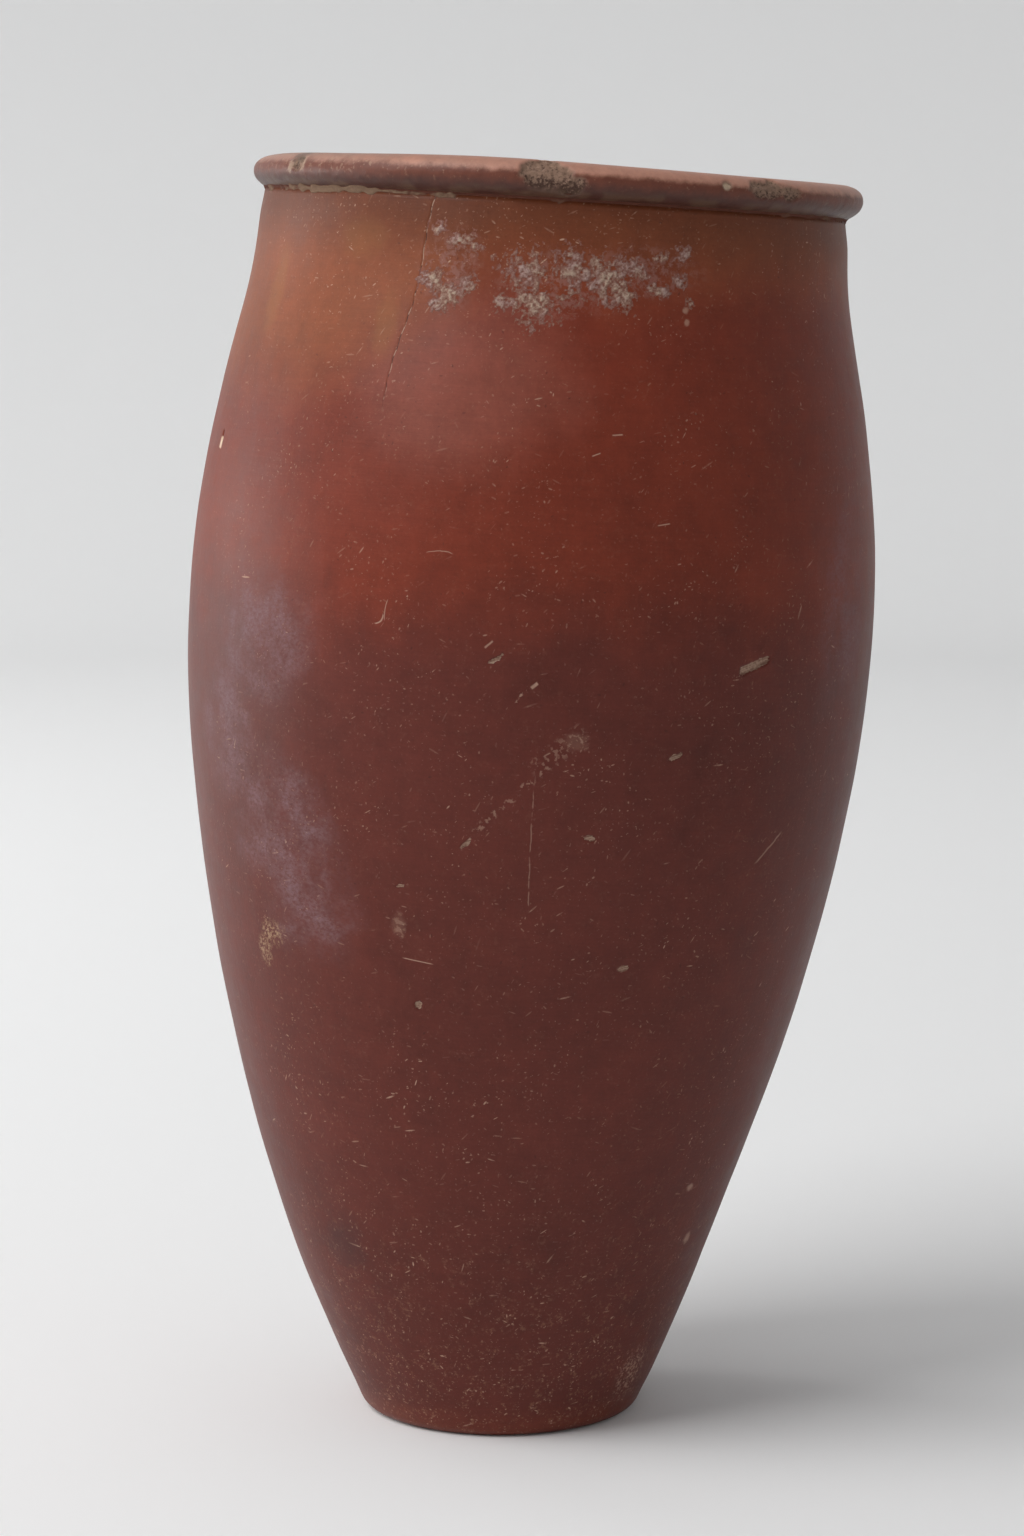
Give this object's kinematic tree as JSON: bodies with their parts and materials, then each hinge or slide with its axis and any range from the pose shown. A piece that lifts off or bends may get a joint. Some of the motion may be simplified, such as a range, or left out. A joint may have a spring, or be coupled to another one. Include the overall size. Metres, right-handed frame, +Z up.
{
  "type": "storage jar",
  "caption": "Tall handle-less ovoid jar of hand-built burnished red pottery, with a small flat base, a short neck, a thick rolled rim and a slight lean.",
  "frame": {"origin": "centre of the flat underside, on the surface the jar stands on", "axes": "+Z up through the mouth, +X the side the jar leans towards, -Y the front"},
  "size_m": [0.1651, 0.1644, 0.3041],
  "materials": {
    "slip": "satin",
    "rim_slip": "satin",
    "soil": "matte",
    "lime": "matte"
  },
  "bodies": {
    "root": {"base_pad": "slip", "lower_wall": "slip", "belly_wall": "slip", "shoulder_wall": "slip", "neck_wall": "slip", "rim_coil": "rim_slip", "groove_soil": "soil", "lime_crust_front": "lime", "lime_crust_left": "lime"}
  },
  "joints": []
}
